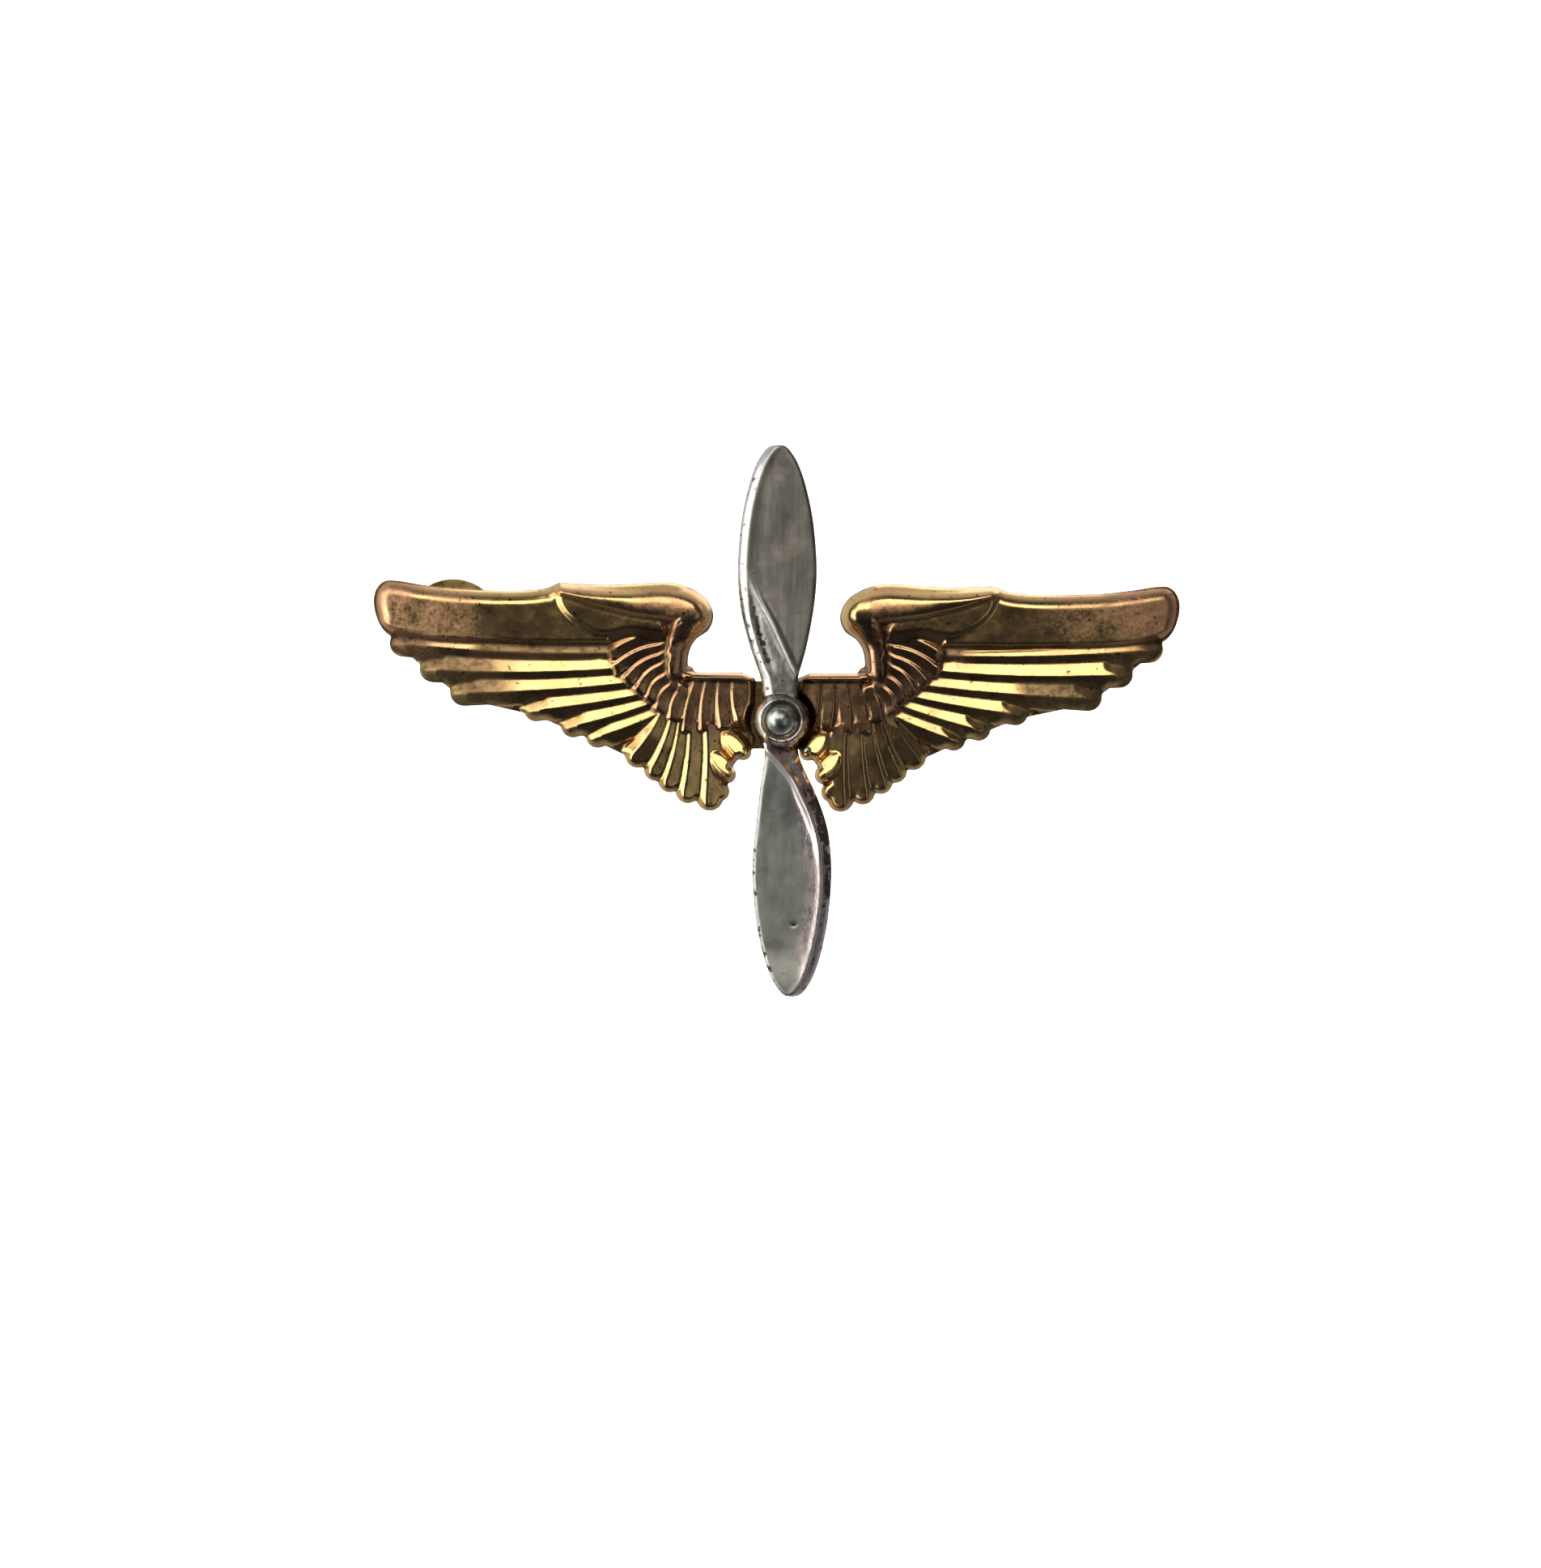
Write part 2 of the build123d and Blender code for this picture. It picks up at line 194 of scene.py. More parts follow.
def cut_grid(x, z, outline, fields, step):
    """Cuts a grid along an outline, which is negative inside.

    Gives the vertices' X and Z, the fields' values at them, the outward direction at each vertex on the cut,
    the faces, and for each vertex on the cut the one that follows it.
    """
    inside = outline < 0
    slope_x, slope_z = np.gradient(outline, step)
    number = np.full(inside.shape, -1)
    number[inside] = np.arange(inside.sum())
    px, pz = list(x[inside]), list(z[inside])
    columns = {key: list(grid[inside]) for key, grid in fields.items()}
    leaning = {}
    crossing = {}

    def cross(i, j, k, m):
        """The vertex where the outline crosses the grid line from corner i, j to corner k, m."""
        key = (i, j, k, m) if (i, j) < (k, m) else (k, m, i, j)
        if key not in crossing:
            i, j, k, m = key
            t = outline[i, j] / (outline[i, j] - outline[k, m])
            crossing[key] = len(px)
            px.append(x[i, j] * (1 - t) + x[k, m] * t)
            pz.append(z[i, j] * (1 - t) + z[k, m] * t)
            for field, grid in fields.items():
                columns[field].append(grid[i, j] * (1 - t) + grid[k, m] * t)
            gx = slope_x[i, j] * (1 - t) + slope_x[k, m] * t
            gz = slope_z[i, j] * (1 - t) + slope_z[k, m] * t
            size = math.hypot(gx, gz) or 1.0
            leaning[crossing[key]] = (gx / size, gz / size)
        return crossing[key]

    faces, after = [], {}
    for i, j in grid_cells(inside):
        corners = [(i, j), (i + 1, j), (i + 1, j + 1), (i, j + 1)]
        ring, last_out, first_in = [], None, None
        for a, b in zip(corners, corners[1:] + corners[:1]):
            if inside[a]:
                ring.append(number[a])
            if inside[a] != inside[b]:
                vertex = cross(*a, *b)
                ring.append(vertex)
                if inside[a]:
                    last_out = vertex
                elif last_out is not None:
                    after[last_out] = vertex
                    last_out = None
                else:
                    first_in = vertex
        if last_out is not None and first_in is not None:
            after[last_out] = first_in
        faces.append(ring)
    return px, pz, columns, leaning, faces, after


def relief_solid(name, area, step, sculpt, rim_passes=4):
    """A closed solid cut out along a free outline.

    sculpt(x, z) gives a dict: outline (negative inside), front (depth), back (depth, or None for a flat back
    at PLATE_BACK with a chamfered edge) and any further fields, which become attributes of the vertices.
    rim_passes is how often the cut's line is smoothed.
    """
    (x0, x1), (z0, z1) = area
    xs, zs = np.arange(x0, x1 + step, step), np.arange(z0, z1 + step, step)
    x, z = np.meshgrid(xs, zs, indexing="ij")
    fields = sculpt(x, z)
    outline = fields.pop("outline")
    nudge = 0.04 * step       # no grid point may lie on the outline itself
    outline = np.where(np.abs(outline) < nudge, -nudge, outline)
    fields["front"] = soften(fields["front"], 1)
    flat_back = fields["back"] is None
    if flat_back:
        fields.pop("back")
    px, pz, columns, leaning, faces, after = cut_grid(x, z, outline, fields, step)
    for loop in loops_of(after):
        line = smooth_loop(np.array([(px[n], pz[n]) for n in loop]), rim_passes)
        for n, (at_x, at_z) in zip(loop, line):
            px[n], pz[n] = at_x, at_z

    count = len(px)
    depth = columns["front"]
    verts = [(px[n] * MM, -depth[n] * MM, pz[n] * MM) for n in range(count)]
    source = list(range(count))
    rim = list(after)
    if flat_back:
        outer = {n: count + k for k, n in enumerate(rim)}
        verts += [(px[n] * MM, -(PLATE_BACK + CHAMFER_DEPTH) * MM, pz[n] * MM) for n in rim]
        inner = {n: count + len(rim) + k for k, n in enumerate(rim)}
        for n in rim:
            lx, lz = leaning[n]
            verts.append(((px[n] - CHAMFER * lx) * MM, -PLATE_BACK * MM, (pz[n] - CHAMFER * lz) * MM))
        source += rim + rim
        for a, b in after.items():
            faces.append([b, a, outer[a], outer[b]])
            faces.append([outer[b], outer[a], inner[a], inner[b]])
        for loop in loops_of(after):
            faces.append([inner[n] for n in reversed(loop)])
    else:
        behind = columns["back"]
        verts += [(px[n] * MM, -behind[n] * MM, pz[n] * MM) for n in range(count)]
        source += list(range(count))
        faces += [[n + count for n in reversed(face)] for face in faces]
        faces += [[b, a, a + count, b + count] for a, b in after.items()]

    mesh = bpy.data.meshes.new(name)
    mesh.from_pydata(verts, [], [[int(n) for n in face] for face in faces])
    for key in fields:
        if key not in ("front", "back"):
            layer = mesh.attributes.new(key, "FLOAT", "POINT")
            values = np.array(columns[key], np.float32)[source]
            if flat_back:
                values[count:] = 0
            layer.data.foreach_set("value", values)
    mesh.validate()
    mesh.shade_smooth()
    mesh.set_sharp_from_angle(angle=math.radians(48))
    piece = bpy.data.objects.new(name, mesh)
    bpy.context.scene.collection.objects.link(piece)
    return piece


def smooth_loop(line, passes):
    """Takes the small steps out of a closed line: each point goes halfway to its neighbours' chord."""
    for _ in range(passes):
        before, beyond = np.roll(line, 1, 0), np.roll(line, -1, 0)
        way = beyond - before
        t = np.sum((line - before) * way, 1) / np.maximum(np.sum(way * way, 1), 1e-12)
        line = (line + before + way * t[:, None]) / 2
    return line


def loops_of(after):
    """Closed loops in a table of next vertices."""
    left = dict(after)
    found = []
    while left:
        start = next(iter(left))
        loop, n = [], start
        while n in left:
            loop.append(n)
            n = left.pop(n)
        if len(loop) > 2:
            found.append(loop)
    return found


# ---------------------------------------------------------------- the wings

# Primary feathers of the wing on the viewer's right, from the top one down:
# root X and Z, centre of the round tip X and Z, half width at root and at tip, sag of the middle.
PRIMARIES = [
    ((6.0, 1.47), (13.25, 1.74), 0.30, 0.48, 0.12),
    ((5.6, 0.93), (12.18, 0.84), 0.28, 0.48, 0.12),
    ((5.1, 0.43), (11.08, 0.02), 0.26, 0.49, 0.08),
    ((4.7, 0.03), (8.52, -0.58), 0.26, 0.42, 0.05),
    ((4.4, -0.30), (7.20, -1.14), 0.24, 0.42, 0.05),
    ((4.2, -0.68), (6.32, -1.50), 0.30, 0.42, 0.05),
]

# How far from the middle each primary's face stays bright, before tarnish and painted shade dull it: viewer's
# left wing, viewer's right wing.
BRIGHT_LEFT = [(10.7, 12.3), (4.0, 9.8), (4.0, 9.7), (4.0, 8.8), (4.0, 7.6), (4.0, 6.9)]
BRIGHT_RIGHT = [(6.9, 13.0), (4.0, 12.0), (4.0, 8.7), (4.0, 8.3), (4.0, 7.3), (4.0, 6.5)]
FADE_LEFT = 0.8           # half the length over which the tarnish and painted shade come in, on each wing
FADE_RIGHT = 0.4

# Secondary feathers, which turn down towards the hub.
SECONDARIES = [
    ((4.0, -0.82), (4.88, -2.16), 0.28, 0.46, 0.06),
    ((3.6, -1.00), (4.25, -2.66), 0.26, 0.42, 0.06),
    ((3.3, -1.15), (3.74, -3.06), 0.26, 0.42, 0.06),
    ((2.9, -1.25), (3.10, -3.42), 0.26, 0.44, 0.05),
    ((2.3, -1.35), (2.32, -3.64), 0.28, 0.48, 0.04),
]

# The last feathers by the hub are drops that turn inwards: centre, the end they point to, half width.
DROPS = [
    ((1.42, -1.80), (1.10, -2.18), 0.27),
    ((1.88, -2.46), (1.54, -2.83), 0.26),
]
# The scallops of the outline under them: start, end, radius at start and at end.
INNER_TIPS = [
    ((1.8, -1.3), (1.14, -2.03), 0.2, 0.29),
    ((2.3, -1.9), (1.72, -2.82), 0.2, 0.33),
    ((2.7, -2.6), (1.98, -3.42), 0.2, 0.36),
]

# Covert feathers, the short fan over the others' roots: inner end, outer end.
COVERTS = [
    ((4.15, 2.05), (5.75, 1.45)),
    ((4.15, 1.62), (5.60, 0.95)),
    ((4.12, 1.27), (5.20, 0.55)),
    ((4.02, 0.95), (4.80, 0.18)),
    ((3.88, 0.58), (4.42, -0.10)),
    ((3.68, 0.25), (4.08, -0.46)),
    ((3.38, 0.05), (3.60, -0.75)),
    ((2.80, 0.35), (3.12, -1.18)),
    ((2.36, 0.40), (2.50, -1.12)),
    ((1.90, 0.40), (1.82, -1.02)),
    ((1.40, 0.40), (1.24, -0.78)),
]

# Depths and slopes of the relief.
GROUND = 2.12             # the plate under the feathers
SIDE_FRONT = 2.0          # depth at which the rounded edge starts
PRIMARY_CREST = 2.58
PRIMARY_STEP = 0.02       # each primary lies this much lower than the one before it
SECONDARY_CREST = 2.54
SECONDARY_IN = 0.24       # slope of a secondary's inner side
INNER_TIP_DEPTH = 2.30
DROP_DEPTH = 2.64
BED_DEPTH = 2.40          # the raised ground of the coverts
COVERT_FOOT = 2.34
COVERT_CREST = 2.70
COVERT_STEP = 0.016       # the same for the coverts
BAND_DEPTH = 2.74         # the smooth leading feather
BAND_SLOPE = 1.3          # slope of the step from it down to the primaries
LOBE_DEPTH = 2.86
LOBE_SLOPE = 0.7
HOLLOW_DROP = 0.16        # how far the hollow inside the lobe is sunk
ARM_BASE = BAND_DEPTH - 0.12  # depth at which the rounded arm starts
ARM_RISE = 0.50           # how far its crest stands over that
NECK_BASE = 2.38          # the same two, where the arm turns down towards the hub
NECK_RISE = 0.36
RIM_BASE = 2.42           # the narrow rim along the top of the bridge
RIM_RISE = 0.20
BLADE_UP = 0.25           # slope of a primary's bright face
BLADE_DOWN = 0.60         # slope from its crest down to the next feather
STEP_OUT = 0.72           # slope of a covert's or secondary's outer flank
STEP_IN = 0.20            # slope of a covert's inner side
POCKET_R = 1.08           # the hub sits in a round pocket with sloping walls
POCKET_HALF = 0.76        # half the width of the low bridge behind it
POCKET_SLOPE = 3.0
BOW_START = 9.5           # from here outwards the wing bends back
BOW = 0.018
BOW_LIMIT = 0.4

# Outlines, as X and Z. The first two make the wing's upper edge, from the tip in to the neck.
LEADING_EDGE = [(13.3, 1.82), (13.80, 2.05), (14.14, 2.5), (WING_TIP_X, 3.15), (14.22, 3.65), (13.9, 3.95),
                (13.4, 3.95), (12.6, 3.82), (11.5, 3.70), (10.0, 3.64), (8.8, 3.66), (8.15, 3.74)]
SHOULDER_EDGE = [(7.72, 3.94), (6.5, 3.88), (5.5, 3.89), (4.5, 3.96), (3.8, 3.97), (3.2, 3.84), (2.55, 3.46),
                 (2.25, 2.88), (2.4, 2.32), (2.86, 1.96), (3.1, 1.5), (3.16, 0.8)]
BAND_EDGE = [(5.9, 1.80), (9.0, 1.80), (12.4, 1.93), (13.9, 2.35)]
# Crest of the arm, from the lobe in to the shoulder and down the neck: X, Z, reach below it (on the neck:
# outwards), reach above it (on the neck: inwards).
ARM_PATH = [
    (7.6, 3.60, 0.17, 0.28),
    (6.5, 3.32, 0.29, 0.46),
    (5.2, 3.12, 0.40, 0.62),
    (4.0, 3.02, 0.48, 0.80),
    (3.15, 2.86, 0.50, 0.86),
    (3.56, 2.25, 0.24, 0.72),
    (3.76, 1.70, 0.15, 0.62),
    (3.78, 0.95, 0.13, 0.56),
]
LOBE = [(7.75, 3.7), (7.62, 3.1), (7.1, 2.55), (6.2, 2.15), (5.2, 2.30), (4.2, 2.2), (3.4, 2.5), (3.4, 3.6)]
INNER_LOBE = [(6.0, 3.3), (5.2, 3.0), (4.55, 2.82), (4.1, 2.5), (3.9, 1.95), (3.4, 1.9), (3.2, 3.4)]
COVERT_BED = [(3.2, 2.4), (4.4, 2.25), (5.5, 1.9), (5.8, 1.5), (5.3, 0.6), (4.5, -0.2), (3.7, -0.9),
              (2.9, -1.25), (1.2, -1.0), (0.75, -0.7), (0.75, 0.6), (3.2, 0.6)]
BODY = [(3.2, 1.6), (3.16, 0.80), (1.2, 0.80), (0.74, 0.6), (0.76, -0.1), (0.86, -1.3), (0.86, -2.0),
        (1.5, -2.4), (1.9, -3.3), (2.6, -3.4), (4.6, -2.0), (6.2, -1.2), (6.4, 1.6)]
BRIDGE = [(-0.9, 0.5), (0.9, 0.5), (0.9, -1.9), (-0.9, -1.9)]


def arm_outline():
    return smooth_line(LEADING_EDGE) + smooth_line(SHOULDER_EDGE) + [(3.2, 0.5), (5.2, 0.5), (6.2, 1.4)]


def web_outline():
    """Joins the feathers: through the tips of the primaries and secondaries, a little inside their ends."""
    tips = [(tip[0], tip[1] - 0.5 * tip_r) for _, tip, _, tip_r, _ in PRIMARIES + SECONDARIES]
    return [(3.0, 1.0), (13.6, 2.4)] + tips + [tip for _, tip, _, _ in reversed(INNER_TIPS)]


def tent(across, crest_at, crest, slope_before, slope_after):
    """A ridge with two flat flanks, seen across its length."""
    before, after = np.maximum(crest_at - across, 0), np.maximum(across - crest_at, 0)
    return crest - slope_before * before - slope_after * after


def feathers(x, z):
    """Outline and depth of one wing with its feathers, for X above 0, without the smooth arm over them."""
    outline = polygon_distance(x, z, arm_outline())
    outline = np.minimum(outline, polygon_distance(x, z, BODY))
    outline = np.minimum(outline, polygon_distance(x, z, web_outline()))
    depth = np.full(x.shape, GROUND)

    for n, (root, tip, root_r, tip_r, sag) in enumerate(PRIMARIES):
        along, across, length, edge = bar(x, z, root, tip, root_r, tip_r, sag)
        outline = np.minimum(outline, edge)
        face = tent(across, 0.04, PRIMARY_CREST - PRIMARY_STEP * n, BLADE_UP, BLADE_DOWN)
        end = np.hypot(across - 0.35 * tip_r, np.maximum(along - length + 0.5, 0) * 0.75) - 0.62 * tip_r
        face = face - 0.5 * np.maximum(end, 0) * smoothstep(along - length, -0.6, -0.3)
        depth = np.maximum(depth, np.where(edge < 0.10, face, GROUND))

    for root, tip, root_r, tip_r, sag in SECONDARIES:
        along, across, length, edge = bar(x, z, root, tip, root_r, tip_r, sag)
        outline = np.minimum(outline, edge)
        face = tent(across, -0.5 * root_r, SECONDARY_CREST, STEP_OUT, SECONDARY_IN)
        face = face - 0.10 * np.maximum(along - 0.5 * length, 0)
        depth = np.maximum(depth, np.where(edge < 0.08, face, GROUND))

    for root, tip, root_r, tip_r in INNER_TIPS:
        edge = bar(x, z, root, tip, root_r, tip_r)[3]
        outline = np.minimum(outline, edge)
        depth = np.maximum(depth, np.where(edge < 0, INNER_TIP_DEPTH, GROUND))
    for centre, end, half in DROPS:
        along, across, length, _ = bar(x, z, centre, end, half, half)
        oval = np.hypot(along / (length + 0.05), across / half)
        face = DROP_DEPTH + BLADE_UP * (centre[1] - z) - 0.02 * smoothstep(oval, 0.6, 1.0)
        face = face - 1.4 * half * np.maximum(oval - 0.95, 0)
        depth = np.maximum(depth, np.where(oval < 1.6, face, GROUND))

    bed = polygon_distance(x, z, COVERT_BED)
    depth = np.maximum(depth, np.where(bed < 0.3, BED_DEPTH - 0.9 * np.maximum(bed, 0), GROUND))
    for n, (inner, outer) in enumerate(COVERTS):
        along, across, length, edge = bar(x, z, inner, outer, 0.34, 0.28, -0.12 if n < 6 else -0.06)
        face = tent(across, -0.12, COVERT_CREST - COVERT_STEP * n, STEP_OUT, STEP_IN)
        face = face - 0.05 * np.maximum(length - along, 0)
        cap = rounded(np.maximum(along - length - 0.24, edge - 0.06), 0.14)
        face = COVERT_FOOT + (face - COVERT_FOOT) * cap
        depth = np.maximum(depth, np.where(edge < 0.06, face, GROUND))
    return outline, depth


def wing_fields(x, z):
    """Outline, depth and the painted shade at the foot of the neck of one wing, for X above 0."""
    outline, depth = feathers(x, z)
    band = polygon_distance(x, z, smooth_line(BAND_EDGE) + [(15.5, 3.0), (15.5, 6.0), (5.9, 6.0)])
    depth = np.maximum(depth, BAND_DEPTH - 0.02 - BAND_SLOPE * np.maximum(band + 0.08, 0))
    lobe = polygon_distance(x, z, smooth_line(LOBE) + [(3.4, 5.0), (7.7, 5.0)])
    depth = np.maximum(depth, LOBE_DEPTH - LOBE_SLOPE * np.maximum(lobe + 0.08, 0))
    hollow = polygon_distance(x, z, smooth_line(INNER_LOBE))
    depth = depth - HOLLOW_DROP * smoothstep(-hollow, -0.05, 0.22)

    arm, arm_r = path_distance(x, z, ARM_PATH)
    on_arm = smoothstep(z, 1.7, 2.8)
    dome = NECK_BASE + (ARM_BASE - NECK_BASE) * on_arm
    dome = dome + (NECK_RISE + (ARM_RISE - NECK_RISE) * on_arm) * rounded(arm, arm_r * 0.95)
    depth = np.where(arm < 0, np.maximum(depth, dome), depth)

    rim = bar(x, z, (3.2, 0.64), (0.95, 0.62), 0.16, 0.14)[3]
    depth = np.where(rim < 0, np.maximum(depth, RIM_BASE + RIM_RISE * rounded(rim, 0.15)), depth)

    outline = np.minimum(outline, polygon_distance(x, z, BRIDGE))
    leading = smoothstep(z - 0.02 * x, 1.9, 2.5)
    edge_r = 0.24 + 0.30 * leading
    depth = SIDE_FRONT + (depth - SIDE_FRONT) * rounded(outline, edge_r)
    # Painted shade along the foot of the neck, on its outer side.
    neck_crease_shade = np.exp(-((arm + 0.10) / 0.20) ** 2) * smoothstep(x, 3.3, 3.6) * (1 - smoothstep(z, 2.3, 2.8))
    return outline, depth, neck_crease_shade


def tarnish_and_shade_areas(x, z):
    """1 where a primary's face is dulled, partly by tarnish and partly as painted shade where it catches no
    light.
    """
    dull = np.zeros(x.shape)
    for side, ranges, fade in ((-1, BRIGHT_LEFT, FADE_LEFT), (1, BRIGHT_RIGHT, FADE_RIGHT)):
        for (root, tip, root_r, tip_r, sag), (start, end) in zip(PRIMARIES, ranges):
            edge = bar(side * x, z, root, tip, root_r, tip_r, sag)[3]
            reach = side * x + 0.25 * value_noise(x, z, 0.5, 21)
            bright = smoothstep(reach, start - 0.3, start + 0.3)
            bright = bright * (1 - smoothstep(reach, end - fade, end + fade))
            dull = np.where((edge < 0.05) & (side * x > 0), 1 - bright, dull)
    return dull


def sculpt_wings(x, z):
    """Both wings and the bridge, with the fields that the gilding's colours follow."""
    outline, depth, neck_crease_shade = wing_fields(np.abs(x), z)
    hub = np.hypot(x - HUB_X, z - HUB_Z)
    pocket = BRIDGE_FRONT + POCKET_SLOPE * np.maximum(hub - POCKET_R, 0)
    inner = BRIDGE_FRONT + POCKET_SLOPE * np.maximum(np.abs(x) - POCKET_HALF, 0)
    depth = np.minimum(depth, np.minimum(pocket, inner))
    bow = BOW * np.maximum(np.abs(x) - BOW_START, 0) ** 2
    depth = depth - np.minimum(bow, BOW_LIMIT) * smoothstep(depth, SIDE_FRONT, SIDE_FRONT + 0.3)
    depth = depth + 0.006 * value_noise(x, z, 0.9, 3) + 0.003 * value_noise(x, z, 0.25, 4)
    # Painted shade: darker in the hollows, in the hub's pocket, under the rim and along the foot of the neck.
    recess_shade = soften(depth, 24) - depth + 0.10 * smoothstep(1.6 - hub, 0.0, 0.3)
    under_rim_shade = smoothstep(z, -0.15, 0.3) * (1 - smoothstep(z, 0.45, 0.55))
    under_rim_shade = under_rim_shade * (1 - smoothstep(np.abs(x), 2.8, 3.3))
    recess_shade = recess_shade + 0.06 * under_rim_shade + 0.11 * neck_crease_shade
    reach = np.abs(x) + 1.3 * value_noise(x, z, 1.7, 5)
    copper = 0.15 + 0.85 * smoothstep(reach, 9.0, 13.8) * smoothstep(z, 0.9, 2.0)
    hollow = polygon_distance(np.abs(x), z, smooth_line(INNER_LOBE))
    copper = np.maximum(copper, 0.8 * smoothstep(-hollow, -0.1, 0.25))
    on_arm = -path_distance(np.abs(x), z, ARM_PATH)[0]
    copper = np.maximum(copper, np.where(x < 0, 0.45, 0.15) * smoothstep(on_arm, -0.3, 0.1))
    brown = smoothstep(-polygon_distance(np.abs(x), z, COVERT_BED), -0.5, 0.1)
    return {"outline": outline, "front": depth, "back": None, "recess_shade": recess_shade, "copper": copper,
            "brown": brown, "dull": tarnish_and_shade_areas(x, z)}


# ---------------------------------------------------------------- the propeller

PROP_TILT = math.radians(0.47)
HUB_R = 1.0
HUB_SHIFT = 0.05          # the boss sits a little to the right of the rivet
HEAD_STANDING = 0.30      # how far the rivet's head stands out of the boss
HUB_DEPTH = -RIVET_LOW.y - HEAD_STANDING
HUB_FOOT = 0.45           # height of the boss's upright side
WELL_R = 0.75             # the shallow well round the rivet
WELL_DROP = 0.22
UPPER_SHIFT = 0.10        # how far each blade's middle line stands off the hub's, towards its bevelled edge
LOWER_SHIFT = 0.42
# Half the blade's width, and where its ridge runs, at distances from the hub's axis.
BLADE_HALF = [(0.0, 0.60), (1.3, 0.62), (2.6, 1.0), (4.0, 1.30), (5.4, 1.40), (7.0, 1.28), (8.2, 1.04),
              (9.0, 0.78), (9.5, 0.50), (9.72, 0.28), (9.8, 0.0)]
UPPER_RIDGE = [(1.0, -0.95), (1.3, -0.79), (1.85, -0.46), (2.6, -0.14), (3.4, 0.20), (4.4, 0.70), (5.4, 1.08)]
LOWER_RIDGE = [(1.0, -0.50), (1.6, 0.00), (2.1, 0.32), (2.7, 0.52), (3.4, 0.74), (4.4, 0.98), (5.4, 1.08)]
BLADE_DEPTH = 2.98        # depth of the ridge, at the axis before the twist is added
BLADE_THICK = 0.36
BLADE_LEAST = 0.16        # the least and the greatest thickness across a blade
BLADE_MOST = 0.62
BEVEL = 0.32              # the raised rim keeps at least this far from the bevelled edge
BAND = 0.62               # pale band beside the rim, on the face's side
BAND_SINK = 0.20          # its slope
UPPER_SLOPE = 0.22        # slope of the part between the rim and the strip, on the upper blade
STRIP = 0.30              # steep strip along the upper blade's bevelled edge
STRIP_SLOPE = 0.70
RIM_HEIGHT = 0.12
RIM_WIDTH = 0.13
EDGE_DROP = 0.12          # the face is rounded off by this much along the outline
BOSS_SHADE = (0.68, 0.10, 0.36)  # painted shadow on the boss beside the rivet, where its hollow lies: X and Z from the hub's axis, radius
DENT = (0.48, -7.22, 0.13)  # dark knock on the lower blade: the same


def half_width(along):
    """Half the width of a blade at a distance from the hub's axis."""
    line = smooth_line(BLADE_HALF, 12)
    return np.interp(along, [p[0] for p in line], [p[1] for p in line], right=-1.0)


def ridge_line(along, table):
    line = smooth_line(table, 8)
    return np.interp(along, [p[0] for p in line], [p[1] for p in line])


def blade_faces(side, along, ridge, band, strip, inner_slope):
    """Front and back of a blade that stands away from the hub; side is positive on its bevelled edge.

    From the face outwards come a band, the raised rim at the ridge, a gently sloping part and a steep strip.
    """
    twist = 1 - smoothstep(along, 0.8, 5.0)
    top = BLADE_DEPTH + 0.10 * twist - 0.012 * along
    inward = np.maximum(ridge - side, 0)
    face = top - BAND_SINK * np.minimum(inward, band) - (0.01 + 0.06 * twist) * inward
    slant = top - inner_slope * np.maximum(side - ridge, 0)
    slant = slant - (STRIP_SLOPE - inner_slope) * np.maximum(side - strip, 0)
    front = np.minimum(face, slant)
    rim = RIM_HEIGHT * np.exp(-((side - ridge + 0.05) / RIM_WIDTH) ** 2)
    front = front + rim * (0.2 + 0.8 * (1 - smoothstep(along, 3.2, 5.2)))
    back = top - BLADE_THICK - 0.10 - (0.10 + 0.35 * twist) * (ridge - side)
    back = np.minimum(back, front - BLADE_LEAST)
    back = np.maximum(back, front - BLADE_MOST)
    return front, back


def blade_wear(x, z, side, along, ridge, edge, blades, below):
    """How pitted the metal is, and the dark groove beside the upper blade's root, both 0 to 1.

    below is 1 on the lower blade and 0 on the upper one.
    """
    worn = smoothstep(along, 1.8, 3.0) * (1 - smoothstep(along, 5.6, 8.0)) * below
    pits = smoothstep(side - ridge, -0.02, 0.14) * (0.30 + 0.55 * worn)
    dent = np.hypot(x - DENT[0], 1.6 * (z - DENT[1])) - DENT[2]
    pits = np.maximum(pits, 0.9 * smoothstep(-dent, -0.06, 0.05))
    pits = np.maximum(pits, 0.45 * below * smoothstep(blades, -0.22, -0.02) * smoothstep(along, 3.4, 5.0))
    groove = (1 - smoothstep(np.abs(side - edge + 0.46), 0.0, 0.22)) * (1 - below)
    groove = groove * smoothstep(along, 1.5, 2.2) * (1 - smoothstep(along, 3.4, 4.6))
    return pits, groove


